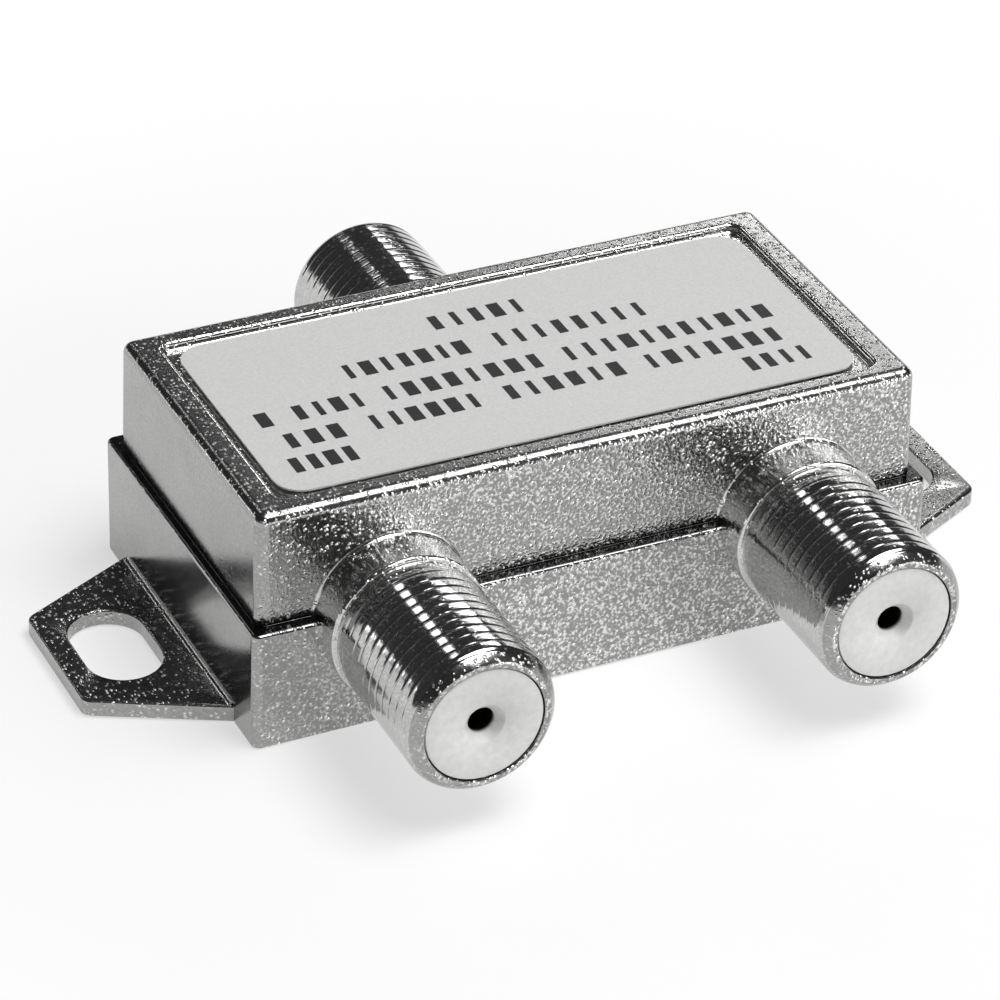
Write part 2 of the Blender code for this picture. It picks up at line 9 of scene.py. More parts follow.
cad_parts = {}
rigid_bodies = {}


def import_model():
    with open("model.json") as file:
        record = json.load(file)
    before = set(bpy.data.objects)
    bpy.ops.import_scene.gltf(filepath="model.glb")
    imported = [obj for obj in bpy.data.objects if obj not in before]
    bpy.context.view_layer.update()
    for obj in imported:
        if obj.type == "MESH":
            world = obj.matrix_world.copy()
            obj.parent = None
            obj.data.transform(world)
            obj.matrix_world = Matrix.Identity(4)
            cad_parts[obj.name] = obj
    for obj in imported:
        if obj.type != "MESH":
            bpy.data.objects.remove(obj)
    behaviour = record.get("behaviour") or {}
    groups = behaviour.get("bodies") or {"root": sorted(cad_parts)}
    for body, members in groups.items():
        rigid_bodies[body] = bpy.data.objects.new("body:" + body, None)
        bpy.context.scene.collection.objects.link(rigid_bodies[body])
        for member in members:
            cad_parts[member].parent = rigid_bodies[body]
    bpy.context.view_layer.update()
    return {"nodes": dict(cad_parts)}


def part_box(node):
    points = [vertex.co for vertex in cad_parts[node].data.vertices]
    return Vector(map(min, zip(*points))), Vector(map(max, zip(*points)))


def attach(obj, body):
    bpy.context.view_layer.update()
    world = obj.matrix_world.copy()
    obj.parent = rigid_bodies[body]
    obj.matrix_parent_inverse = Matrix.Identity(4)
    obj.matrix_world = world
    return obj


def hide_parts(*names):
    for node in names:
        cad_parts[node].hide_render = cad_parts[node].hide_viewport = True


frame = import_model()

nodes = frame["nodes"]
MM = 0.001

# Sizes of the casting in millimetres, the same as in the part's source
HEIGHT = 15.37
LEDGE = 7.94
UPPER_X = 21.6
UPPER_Y = 10.95
DRAFT = 0.11
LEDGE_END = 0.6
LEDGE_SIDE = 0.92
UPPER_CORNER = 0.75
LOWER_CORNER = 0.55
BORDER_END = 2.0
BORDER_SIDE = 1.6
RECESS_DEPTH = 0.5
RECESS_CORNER = 0.65
EAR_TIP = 30.3
EAR_TIP_WIDTH = 9.6
EAR_ROOT_WIDTH = 17.65
EAR_THICKNESS = 1.1
EAR_CORNER = 0.85
SLOT_WIDTH = 4.7
SLOT_LENGTH = 7.6
SLOT_X = 26.4
OUTPUT_X = 13.25
PORT_HEIGHT = 7.38
PORT_TIP = 24.4
BOSS_RADIUS = 4.93
BOSS_LENGTH = 2.8
COLLAR_RADIUS = 4.64
COLLAR_LENGTH = 0.8
NECK_LENGTH = 0.3
THREAD_RADIUS = 4.76
THREAD_PITCH = 0.855
BORE_RADIUS = 3.78
BORE_DEPTH = 8.8
WEB_HOLE_RADIUS = 2.1
WALL = 1.4
ROOF = 1.6
CAVITY_CORNER = 1.0
COVER_SEAT = 1.3
COVER_RIM = 0.9
POST_LENGTH = 2.6
POST_DEPTH = 3.0
POST_BOTTOM = 9.23

# Rounded edges and fillets of the box, finer than in the part's source
TOP_ROUND = 0.68
LEDGE_ROUND = 0.22
BASE_ROUND = 0.08
INNER_FILLET = 0.03
RECESS_LIP = 0.28
RECESS_FILLET = 0.18
SEAT_CORNER = 0.3
LEAST_CORNER = 0.05
EAR_EDGE = 0.12
EAR_FILLET = 0.3
EAR_FILLET_SUNK = 0.4
EAR_FILLET_END = 0.25

# How far shapes run into or past each other, so that they join or cut cleanly
UPPER_SUNK = 1.0
EAR_SUNK = 1.5
PORT_SUNK = 0.9
CUT_PAST = 1.0
SEAT_PAST = 1.1
BORE_MOUTH_PLAY = 0.05

# The barrel: its edges, and the shallow thread that the photo shows
COLLAR_ROUND = 0.12
BOSS_ROUND = 0.2
BOSS_FILLET = 0.25
THREAD_DEPTH = 0.045
ROOT_SHARE = 0.36
# Radius of the crest where the thread starts, and its height over the neck where it ends
FIRST_CREST = 4.60
LAST_CREST = 0.02
# Gaps along the barrel between the rows of one form and the rows of the next
TIP_TO_THREAD = 0.05
THREAD_TO_NECK = 0.05
NECK_TO_COLLAR = 0.02
COLLAR_TO_BOSS = 0.03
# The thread rises over one length from the tip and sinks over another to the neck, and
# both start this far outside the thread
RUN_LEAD = 0.1
RUN_IN = 0.45
RUN_OUT = 0.5
# The thread loses this share of its depth at the sides, over these shares of the radius
SIDE_LOSS = 0.8
SIDE_START = 0.8
SIDE_SPAN = 0.18
# The rounded tip: (distance from the tip, radius)
TIP_PROFILE = [(0.0, 4.08), (0.03, 4.15), (0.10, 4.23), (0.20, 4.33), (0.32, 4.44),
               (0.42, 4.52), (0.50, 4.57)]
# Shares of a pitch at which the thread has a row of points, closer together near the root
THREAD_ROWS = [0.0, 0.04, 0.08, 0.12, 0.16, 0.2, 0.35, 0.5, 0.65, 0.8, 0.84, 0.88, 0.92, 0.96]

# The plugs of insulation
PLUG_RADIUS = 3.70
PLUG_FACE = -0.10
PLUG_BACK = -8.5
PLUG_TAIL = -14.7
PLUG_TAIL_RADIUS = 1.9
PLUG_ROUND = 0.06
DISH_RADIUS = 1.34
WIRE_BORE_RADIUS = 1.3
WIRE_HOLE_RADIUS = 0.82
WIRE_HOLE_BACK = -1.0
# Rows of the dished entry, from the hole for the wire outwards: (radius, height)
PLUG_ENTRY = [(WIRE_HOLE_RADIUS, WIRE_HOLE_BACK), (WIRE_HOLE_RADIUS, -0.66),
              (0.87, -0.57), (1.20, -0.27), (1.26, -0.17), (DISH_RADIUS, PLUG_FACE)]
# Distances from the port's tip at which the painted shade in the dish is full and at which it ends
DISH_SHADE_FULL = 0.85
DISH_SHADE_END = 0.6

# Numbers of points or sections in rounded shapes
PORT_STEPS = 120
BORE_STEPS = 96
TOP_SECTIONS = 9
LEDGE_SECTIONS = 5
EDGE_SECTIONS = 4

# Points closer together than this are one, in metres
WELD = 1e-6

WALL_X = UPPER_X + DRAFT
WALL_Y = UPPER_Y + DRAFT
LOWER_X = WALL_X + LEDGE_END
LOWER_Y = WALL_Y + LEDGE_SIDE
RECESS_X = UPPER_X - BORDER_END
RECESS_Y = UPPER_Y - BORDER_SIDE
RECESS_FLOOR = HEIGHT - RECESS_DEPTH
CAVITY_X = UPPER_X - WALL
CAVITY_Y = UPPER_Y - WALL
CAVITY_TOP = RECESS_FLOOR - ROOF
WEB_DEPTH = PORT_TIP - CAVITY_Y

SQUARE = ((-1, -1), (1, -1), (1, 1), (-1, 1))

# Mouth of each port and its tilt about X
PORTS = {
    "output_left": ((-OUTPUT_X, -PORT_TIP, PORT_HEIGHT), math.pi / 2),
    "output_right": ((OUTPUT_X, -PORT_TIP, PORT_HEIGHT), math.pi / 2),
    "input": ((0.0, PORT_TIP, PORT_HEIGHT), -math.pi / 2),
}

scene = bpy.context.scene
scene.view_settings.view_transform = "Standard"
workshop = bpy.data.collections.new("workshop")
scene.collection.children.link(workshop)


# ---------------------------------------------------------------- mesh making

def mesh_from(name, verts, faces):
    """Mesh from points in millimetres."""
    mesh = bpy.data.meshes.new(name)
    mesh.from_pydata([tuple(c * MM for c in v) for v in verts], [], faces)
    mesh.validate()
    return mesh


def blank(name, mesh):
    """A shape that is only used to make another."""
    obj = bpy.data.objects.new(name, mesh)
    workshop.objects.link(obj)
    return obj


def piece(name, mesh, materials, slot, *replaced):
    """A visible piece, on the body root, in place of the nodes it replaces."""
    obj = bpy.data.objects.new(name, mesh)
    scene.collection.objects.link(obj)
    for mat in materials:
        obj.data.materials.append(mat)
    if replaced:
        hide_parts(*replaced)
    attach(obj, "root")
    return obj


def outline(half_x, half_y, radius, count=7):
    """Rounded rectangle, anticlockwise."""
    out = []
    for sx, sy, start in ((1, 1, 0), (-1, 1, 90), (-1, -1, 180), (1, -1, 270)):
        for i in range(count + 1):
            a = math.radians(start + 90.0 * i / count)
            out.append((sx * (half_x - radius) + radius * math.cos(a),
                        sy * (half_y - radius) + radius * math.sin(a)))
    return out


def grown(half_x, half_y, radius, by):
    """The same outline, further out by a distance."""
    return outline(half_x + by, half_y + by, radius + by)


def loft(name, sections):
    """Closed solid through outlines of the same length, each (points, z), upwards."""
    verts = []
    faces = []
    size = len(sections[0][0])
    for points, z in sections:
        verts += [(x, y, z) for x, y in points]
    for level in range(len(sections) - 1):
        a = level * size
        b = a + size
        for i in range(size):
            j = (i + 1) % size
            faces.append((a + i, a + j, b + j, b + i))
    faces.append(tuple(reversed(range(size))))
    top = (len(sections) - 1) * size
    faces.append(tuple(range(top, top + size)))
    return mesh_from(name, verts, faces)


def turned(name, rows, steps, closed=False, turn=0.0):
    """Solid of revolution about Z from (radius, z) rows; caps are single flat faces."""
    verts = []
    faces = []
    for r, z in rows:
        for i in range(steps):
            a = 2 * math.pi * i / steps + turn
            verts.append((r * math.cos(a), r * math.sin(a), z))
    count = len(rows)
    for level in range(count if closed else count - 1):
        a = level * steps
        b = (level + 1) % count * steps
        for i in range(steps):
            j = (i + 1) % steps
            faces.append((a + i, b + i, b + j, a + j))
    if not closed:
        faces.append(tuple(range(steps)))
        faces.append(tuple(reversed(range((count - 1) * steps, count * steps))))
    return mesh_from(name, verts, faces)


def box(name, x0, x1, y0, y1, z0, z1):
    corners = [(x0, y0), (x1, y0), (x1, y1), (x0, y1)]
    return loft(name, [(corners, z0), (corners, z1)])


def evaluated(obj):
    """The mesh of an object with its modifiers, or of a curve, as it now stands."""
    bpy.context.view_layer.update()
    ready = obj.evaluated_get(bpy.context.evaluated_depsgraph_get())
    return bpy.data.meshes.new_from_object(ready)


def combine(base, operations):
    """Runs a list of (object, operation) on base and returns the finished mesh."""
    for other, operation in operations:
        mod = base.modifiers.new(other.name, "BOOLEAN")
        mod.operation = operation
        mod.solver = "EXACT"
        mod.object = other
    return evaluated(base)


def tidy(mesh):
    """Joins points that coincide and takes out faces without area."""
    bm = bmesh.new()
    bm.from_mesh(mesh)
    bmesh.ops.remove_doubles(bm, verts=bm.verts, dist=WELD)
    bmesh.ops.dissolve_degenerate(bm, edges=bm.edges, dist=WELD)
    bm.to_mesh(mesh)
    bm.free()
    return mesh


def smooth(obj, degrees=40.0):
    """Smooth shading with sharp edges above an angle, and normals that follow large faces."""
    obj.data.shade_smooth()
    obj.data.set_sharp_from_angle(angle=math.radians(degrees))
    mod = obj.modifiers.new("even_normals", "WEIGHTED_NORMAL")
    mod.keep_sharp = True
    mod.weight = 100


def round_over(half_x, half_y, corner, z, radius, count, up=True):
    """Sections that round the edge between an upright wall and a flat face at z."""
    out = []
    for i in range(1, count + 1):
        a = math.pi / 2 * i / count
        inset = radius * (1 - math.cos(a))
        rise = radius * math.sin(a)
        level = z - radius + rise if up else z + radius - rise
        points = outline(half_x - inset, half_y - inset, max(corner - inset, LEAST_CORNER))
        out.append((points, level))
    return out if up else out[::-1]


def quarter(count):
    """Shares (1 - cos, 1 - sin) of a rounded edge, from its start to its end."""
    angles = [math.pi / 2 * i / count for i in range(count + 1)]
    return [(1 - math.cos(a), 1 - math.sin(a)) for a in angles]


def rounded(corners, radii, count=8):
    """Outline with each corner replaced by a tangent arc."""
    out = []
    for i, corner in enumerate(corners):
        corner = Vector(corner)
        radius = radii[i]
        if radius <= 0:
            out.append(tuple(corner))
            continue
        before = (Vector(corners[i - 1]) - corner).normalized()
        after = (Vector(corners[(i + 1) % len(corners)]) - corner).normalized()
        half = before.angle(after) / 2
        centre = corner + (before + after).normalized() * (radius / math.sin(half))
        a = corner + before * (radius / math.tan(half)) - centre
        b = corner + after * (radius / math.tan(half)) - centre
        start = math.atan2(a.y, a.x)
        sweep = math.atan2(a.x * b.y - a.y * b.x, a.dot(b))
        for k in range(count + 1):
            t = start + sweep * k / count
            out.append((centre.x + radius * math.cos(t), centre.y + radius * math.sin(t)))
    return out


def slot_points(cx, width, length, count=20):
    """Outline of an oval hole, long in Y."""
    radius = width / 2
    straight = length / 2 - radius
    out = []
    for start, cy in ((0, straight), (180, -straight)):
        for i in range(count + 1):
            a = math.radians(start + 180.0 * i / count)
            out.append((cx + radius * math.cos(a), cy + radius * math.sin(a)))
    return out


def plate(name, outlines, z0, z1, edge):
    """Flat plate with holes and slightly rounded edges."""
    curve = bpy.data.curves.new(name, "CURVE")
    curve.dimensions = "2D"
    curve.fill_mode = "BOTH"
    curve.extrude = ((z1 - z0) / 2 - edge) * MM
    curve.bevel_depth = edge * MM
    curve.bevel_resolution = 2
    curve.offset = -edge * MM
    for points in outlines:
        spline = curve.splines.new("POLY")
        spline.points.add(len(points) - 1)
        for point, (x, y) in zip(spline.points, points):
            point.co = (x * MM, y * MM, 0.0, 1.0)
        spline.use_cyclic_u = True
    flat = blank(name, curve)
    mesh = evaluated(flat)
    bpy.data.objects.remove(flat, do_unlink=True)
    bm = bmesh.new()
    bm.from_mesh(mesh)
    bmesh.ops.remove_doubles(bm, verts=bm.verts, dist=WELD)
    bmesh.ops.translate(bm, verts=bm.verts, vec=(0.0, 0.0, (z0 + z1) / 2 * MM))
    bmesh.ops.recalc_face_normals(bm, faces=bm.faces)
    bm.to_mesh(mesh)
    bm.free()
    return mesh


# ---------------------------------------------------------------- parts of the casting

def lower_half():
    plain = outline(LOWER_X, LOWER_Y, LOWER_CORNER)
    size = (LOWER_X, LOWER_Y, LOWER_CORNER)
    sections = round_over(*size, 0.0, BASE_ROUND, 2, up=False)
    sections += [(plain, BASE_ROUND), (plain, LEDGE - LEDGE_ROUND)]
    sections += round_over(*size, LEDGE, LEDGE_ROUND, LEDGE_SECTIONS)
    return loft("lower_half", sections)


def upper_half():
    """The upper box with its draft, a small fillet at the ledge and a rounded top edge."""
    foot = (WALL_X, WALL_Y, UPPER_CORNER)
    sections = [(grown(*foot, INNER_FILLET), LEDGE - UPPER_SUNK)]
    for i in range(LEDGE_SECTIONS + 1):
        a = math.pi / 2 * i / LEDGE_SECTIONS
        flare = INNER_FILLET * (1 - math.sin(a))
        rise = INNER_FILLET * (1 - math.cos(a))
        sections.append((grown(*foot, flare), LEDGE + rise))
    size = (UPPER_X, UPPER_Y, UPPER_CORNER)
    sections.append((outline(*size), HEIGHT - TOP_ROUND))
    sections += round_over(*size, HEIGHT, TOP_ROUND, TOP_SECTIONS)
    return loft("upper_half", sections)


def ear(name, side):
    """A mounting ear with its oval hole; side is -1 at the left."""
    slope = (EAR_ROOT_WIDTH - EAR_TIP_WIDTH) / 2 / (EAR_TIP - LOWER_X)
    root = LOWER_X - EAR_SUNK
    root_half = EAR_ROOT_WIDTH / 2 + slope * EAR_SUNK
    corners = [(root, -root_half), (EAR_TIP, -EAR_TIP_WIDTH / 2),
               (EAR_TIP, EAR_TIP_WIDTH / 2), (root, root_half)]
    points = rounded(corners, [0, EAR_CORNER, EAR_CORNER, 0])
    hole = slot_points(SLOT_X, SLOT_WIDTH, SLOT_LENGTH)
    if side < 0:
        points = [(-x, y) for x, y in points][::-1]
        hole = [(-x, y) for x, y in hole][::-1]
    return plate(name, [points, hole], 0.0, EAR_THICKNESS, EAR_EDGE)


def ear_fillet(side):
    """Fillet where an ear meets the end wall."""
    sunk_x = LOWER_X - EAR_FILLET_SUNK
    sunk_z = EAR_THICKNESS - EAR_FILLET_SUNK
    section = [(sunk_x, sunk_z), (LOWER_X + EAR_FILLET, sunk_z)]
    for i in range(EDGE_SECTIONS + 1):
        a = math.pi / 2 * i / EDGE_SECTIONS
        section.append((LOWER_X + EAR_FILLET * (1 - math.sin(a)),
                        EAR_THICKNESS + EAR_FILLET * (1 - math.cos(a))))
    section.append((sunk_x, EAR_THICKNESS + EAR_FILLET))
    half = EAR_ROOT_WIDTH / 2 - EAR_FILLET_END
    verts = [(side * x, y, z) for y in (-half, half) for x, z in section]
    size = len(section)
    faces = [tuple(range(size)), tuple(reversed(range(size, 2 * size)))]
    for i in range(size):
        j = (i + 1) % size
        faces.append((i, i + size, j + size, j))
    if side < 0:
        faces = [tuple(reversed(f)) for f in faces]
    return mesh_from("fillet", verts, faces)


def thread_height(u):
    """Height of the thread, 0 to 1, at a share u of one pitch: a flat crest, a narrow root."""
    into_root = max(abs((u % 1.0) - 0.5) * 2 - (1.0 - ROOT_SHARE), 0.0) / ROOT_SHARE
    return 0.5 + 0.5 * math.cos(math.pi * into_root)


def ease(x):
    """0 to 1 without a corner at either end."""
    x = min(max(x, 0.0), 1.0)
    return x * x * (3 - 2 * x)


def wrap_row(row, low, high, per_turn):
    """The row that a row of the thread meets after one turn; other rows meet themselves."""
    if row < low or row > high:
        return row
    return max(row - per_turn, low)


def port_mesh(name):
    """Boss, collar, neck and thread as one solid; +Z points out of the port, its tip is z 0.

    The thread fades towards the sides, where the two halves of the mould met. Its rows of
    points follow the helix, and those that run past an end of the thread lie on that end.
    """
    wall_at = PORT_TIP - WALL_Y
    boss_at = wall_at - BOSS_LENGTH
    collar_at = boss_at - COLLAR_LENGTH
    neck_at = collar_at - NECK_LENGTH
    root = THREAD_RADIUS - THREAD_DEPTH
    first = TIP_PROFILE[-1][0] + TIP_TO_THREAD
    # (distance from the tip, radius, and the turn where a row of the thread starts)
    rows = [(depth, radius, None) for depth, radius in TIP_PROFILE]
    for turn in range(int(first / THREAD_PITCH), int(neck_at / THREAD_PITCH) + 2):
        rows += [(None, None, turn + share) for share in THREAD_ROWS]
    rows += [(neck_at + THREAD_TO_NECK, root, None), (collar_at - NECK_TO_COLLAR, root, None)]
    rows += [(collar_at + COLLAR_ROUND * far, COLLAR_RADIUS - COLLAR_ROUND * low, None)
             for far, low in quarter(EDGE_SECTIONS)]
    rows.append((boss_at - COLLAR_TO_BOSS, COLLAR_RADIUS, None))
    rows += [(boss_at + BOSS_ROUND * far, BOSS_RADIUS - BOSS_ROUND * low, None)
             for far, low in quarter(EDGE_SECTIONS)]
    rows.append((wall_at - BOSS_FILLET, BOSS_RADIUS, None))
    rows += [(wall_at - BOSS_FILLET * low, BOSS_RADIUS + BOSS_FILLET * far, None)
             for far, low in quarter(EDGE_SECTIONS)[1:]]
    rows.append((wall_at + PORT_SUNK, BOSS_RADIUS + BOSS_FILLET, None))
    verts = []
    for depth, radius, turn in rows:
        for i in range(PORT_STEPS):
            share = i / PORT_STEPS
            a = 2 * math.pi * share
            r = radius
            z = depth
            if turn is not None:
                z = min(max((turn - share) * THREAD_PITCH, first), neck_at)
                side = 1.0 - SIDE_LOSS * ease((abs(math.cos(a)) - SIDE_START) / SIDE_SPAN)
                into = ease((z - first + RUN_LEAD) / RUN_IN)
                out = ease((neck_at - z + RUN_LEAD) / RUN_OUT)
                crest = FIRST_CREST + (THREAD_RADIUS - FIRST_CREST) * into
                crest = root + LAST_CREST + (crest - root - LAST_CREST) * out
                height = thread_height(z / THREAD_PITCH + share)
                r = crest - THREAD_DEPTH * (1.0 - height) * side * into * out
            verts.append((r * math.cos(a), r * math.sin(a), -z))
    # A row of the thread closes on the row one turn on, which is where its last point leads
    faces = []
    count = len(rows)
    thread_first = len(TIP_PROFILE)
    thread_last = thread_first + sum(turn is not None for depth, radius, turn in rows) - 1
    for level in range(count - 1):
        for i in range(PORT_STEPS):
            near = (level, level + 1)
            over = near
            if i == PORT_STEPS - 1:
                over = [wrap_row(k, thread_first, thread_last, len(THREAD_ROWS)) for k in near]
            j = (i + 1) % PORT_STEPS
            faces.append((near[0] * PORT_STEPS + i, near[1] * PORT_STEPS + i,
                          over[1] * PORT_STEPS + j, over[0] * PORT_STEPS + j))
    faces.append(tuple(range(PORT_STEPS)))
    faces.append(tuple(reversed(range((count - 1) * PORT_STEPS, count * PORT_STEPS))))
    return mesh_from(name, verts, faces)


def port_matrix(name):
    place, tilt = PORTS[name]
    return Matrix.Translation(Vector(place) * MM) @ Matrix.Rotation(tilt, 4, "X")


def port_blank(kind, name, mesh):
    obj = blank(kind + "_" + name, mesh)
    obj.matrix_world = port_matrix(name)
    return obj


def label_recess():
    """The recess for the label: its rim is rounded over and its floor has a fillet."""
    size = (RECESS_X, RECESS_Y, RECESS_CORNER)
    sections = []
    for far, low in quarter(3):
        sections.append((grown(*size, -RECESS_FILLET * low), RECESS_FLOOR + RECESS_FILLET * far))
    sections.append((outline(*size), HEIGHT - RECESS_LIP))
    for i in range(1, EDGE_SECTIONS + 1):
        a = math.pi / 2 * i / EDGE_SECTIONS
        sections.append((grown(*size, RECESS_LIP * (1 - math.cos(a))),
                         HEIGHT - RECESS_LIP + RECESS_LIP * math.sin(a)))
    sections.append((grown(*size, RECESS_LIP), HEIGHT + CUT_PAST))
    return loft("label_recess", sections)


# ---------------------------------------------------------------- the casting

lower = blank("lower_half", lower_half())
operations = [(blank("upper_half", upper_half()), "UNION")]
for name, side in (("ear_left", -1), ("ear_right", 1)):
    operations.append((blank(name, ear(name, side)), "UNION"))
    operations.append((blank("fillet_" + name, ear_fillet(side)), "UNION"))
operations.append((blank("label_recess", label_recess()), "DIFFERENCE"))

cavity = outline(CAVITY_X, CAVITY_Y, CAVITY_CORNER)
cavity_mesh = loft("cavity", [(cavity, -CUT_PAST), (cavity, CAVITY_TOP)])
operations.append((blank("cavity", cavity_mesh), "DIFFERENCE"))
seat = outline(LOWER_X - COVER_RIM, LOWER_Y - COVER_RIM, SEAT_CORNER)
seat_mesh = loft("cover_seat", [(seat, -SEAT_PAST), (seat, COVER_SEAT)])
operations.append((blank("cover_seat", seat_mesh), "DIFFERENCE"))
for side_x in (-1, 1):
    for side_y in (-1, 1):
        xs = sorted((side_x * (CAVITY_X - POST_LENGTH), side_x * (CAVITY_X + WALL / 3)))
        ys = sorted((side_y * (CAVITY_Y - POST_DEPTH), side_y * (CAVITY_Y + WALL / 3)))
        post_name = "post_%d_%d" % (side_x, side_y)
        post = box(post_name, *xs, *ys, POST_BOTTOM, CAVITY_TOP + ROOF / 3)
        operations.append((blank(post_name, post), "UNION"))

port = tidy(port_mesh("port"))
for name in PORTS:
    operations.append((port_blank("port", name, port), "UNION"))
bore_rows = [(BORE_RADIUS + BORE_MOUTH_PLAY, CUT_PAST), (BORE_RADIUS + BORE_MOUTH_PLAY, 0.0),
             (BORE_RADIUS, -BORE_MOUTH_PLAY), (BORE_RADIUS, -BORE_DEPTH),
             (WEB_HOLE_RADIUS, -BORE_DEPTH), (WEB_HOLE_RADIUS, -WEB_DEPTH - WALL / 3)]
# Turned by half a step of the port, so that no corner of the one lies on one of the other
bore = turned("bore", bore_rows, BORE_STEPS, turn=math.pi / PORT_STEPS)
for name in PORTS:
    operations.append((port_blank("bore", name, bore), "DIFFERENCE"))

casting_mesh = tidy(combine(lower, operations))
casting_mesh.name = "housing_cast"


# ---------------------------------------------------------------- materials

def shade(colour, factor):
    return tuple(min(c * factor, 1.0) for c in colour)


class Paint:
    """A material made of nodes on object coordinates, in metres."""

    def __init__(self, name, colour, roughness, metallic=0.0):
        self.mat = bpy.data.materials.new(name)
        self.mat.use_nodes = True
        self.tree = self.mat.node_tree
        self.shader = self.tree.nodes["Principled BSDF"]
        self.shader.inputs["Base Color"].default_value = (*colour, 1.0)
        self.shader.inputs["Roughness"].default_value = roughness
        self.shader.inputs["Metallic"].default_value = metallic
        self.coords = self.tree.nodes.new("ShaderNodeTexCoord").outputs["Object"]

    def node(self, kind, **values):
        new = self.tree.nodes.new(kind)
        for key, value in values.items():
            setattr(new, key, value)
        return new

    def link(self, a, b):
        self.tree.links.new(a, b)

    def noise(self, scale, detail=2.0, rough=0.5, stretch=None):
        new = self.node("ShaderNodeTexNoise")
        new.inputs["Scale"].default_value = scale
        new.inputs["Detail"].default_value = detail
        new.inputs["Roughness"].default_value = rough
        if stretch:
            mapping = self.node("ShaderNodeMapping")
            mapping.inputs["Scale"].default_value = stretch
            self.link(self.coords, mapping.inputs["Vector"])
            self.link(mapping.outputs["Vector"], new.inputs["Vector"])
        else:
            self.link(self.coords, new.inputs["Vector"])
        return new.outputs["Fac"]

    def cells(self, scale):
        new = self.node("ShaderNodeTexVoronoi")
        new.inputs["Scale"].default_value = scale
        self.link(self.coords, new.inputs["Vector"])
        return new

    def ramp(self, source, stops):
        """Colours or greys at places from 0 to 1 of a source."""
        new = self.node("ShaderNodeValToRGB")
        ramp = new.color_ramp
        while len(ramp.elements) < len(stops):
            ramp.elements.new(0.5)
        for element, (place, value) in zip(ramp.elements, stops):
            element.position = place
            colour = value if isinstance(value, tuple) else (value, value, value)
            element.color = (*colour, 1.0)
        self.link(source, new.inputs["Fac"])
        return new.outputs["Color"]

    def shades(self, source, colour, stops):
        """Darker and lighter shades of one colour at places from 0 to 1 of a source."""
        return self.ramp(source, [(place, shade(colour, factor)) for place, factor in stops])

    def scale_to(self, source, low, high, from_low=0.3, from_high=0.7, kind="LINEAR"):
        new = self.node("ShaderNodeMapRange", interpolation_type=kind)
        new.inputs["From Min"].default_value = from_low
        new.inputs["From Max"].default_value = from_high
        new.inputs["To Min"].default_value = low
        new.inputs["To Max"].default_value = high
        self.link(source, new.inputs["Value"])
        return new.outputs["Result"]

    def math(self, operation, a, b):
        new = self.node("ShaderNodeMath", operation=operation)
        for socket, value in zip(new.inputs, (a, b)):
            if isinstance(value, (int, float)):
                socket.default_value = value
            else:
                self.link(value, socket)
        return new.outputs["Value"]

    def times(self, a, b):
        return self.math("MULTIPLY", a, b)

    def size_of(self, value):
        return self.math("ABSOLUTE", value, 0.0)

    def mixed(self, share, below, above):
        """below turned to above by share; above is a link or a colour."""
        new = self.node("ShaderNodeMixRGB")
        self.link(share, new.inputs["Fac"])
        self.link(below, new.inputs["Color1"])
        if isinstance(above, tuple):
            new.inputs["Color2"].default_value = (*above, 1.0)
        else:
            self.link(above, new.inputs["Color2"])
        return new.outputs["Color"]

    def part_of(self, source, name):
        """One number of a vector: X, Y or Z."""
        new = self.node("ShaderNodeSeparateXYZ")
        self.link(source, new.inputs["Vector"])
        return new.outputs[name]

    def bump(self, source, distance, below=None):
        """Normals of a source raised by a distance in millimetres."""
        new = self.node("ShaderNodeBump")
        new.inputs["Strength"].default_value = 1.0
        new.inputs["Distance"].default_value = distance * MM
        self.link(source, new.inputs["Height"])
        if below is not None:
            self.link(below, new.inputs["Normal"])
        return new.outputs["Normal"]

    def set(self, socket, source):
        self.link(source, self.shader.inputs[socket])


# Skin of the casting. Scales are in cells to the metre.
FINE_SCALE = 9000.0
GRAIN_SCALE = 4900.0
UNEVEN_SCALE = 2600.0
CLOUD_SCALE = 260.0
CLOUD_SHARE = 0.4
DUST_SCALE = 6000.0
DUST_SHARE = 0.6
SKIN_SHADES = [(0.35, 0.86), (0.65, 1.12)]
# Shades of the grain; the lightest, over twice the colour, are painted glints
GRAIN_AND_GLINT_SHADES = [(0.36, 0.8), (0.52, 1.0), (0.66, 2.2)]
# The grain is only on faces that look along Y, and weaker at the left end
FRONT_POWER = 8.0
GRAIN_AT_END = 0.3
GRAIN_END_X = (-20.0, -11.0)
# Specks of two sizes: (scale, chance below which a cell has none)
SPECKS = ((2900.0, 0.4), (4600.0, 0.65))
SPECK_CHANCE_SPAN = 0.2
SPECK_EDGE = (0.08, 0.44)
# Painted highlight: the raised specks are also coloured near white, as glints
SPECK_GLINT_COLOUR = (0.92, 0.92, 0.91)
SPECK_ROUGHER = 0.14
FEWER_ON_ENDS = 0.85
# Painted shade: a dark line in the corner between the ledge and the upper wall
CORNER_SHADE_COLOUR = (0.03, 0.03, 0.03)
CORNER_SHADE_SHARE = 0.85
CORNER_SHADE_HEIGHT = 0.05
CORNER_SHADE_EDGE = (0.06, 0.1)
CORNER_SHADE_FADE = 0.1
# The top face is rougher than the rounded edge below it, between these depths
TOP_EDGE = (0.12, 0.02)


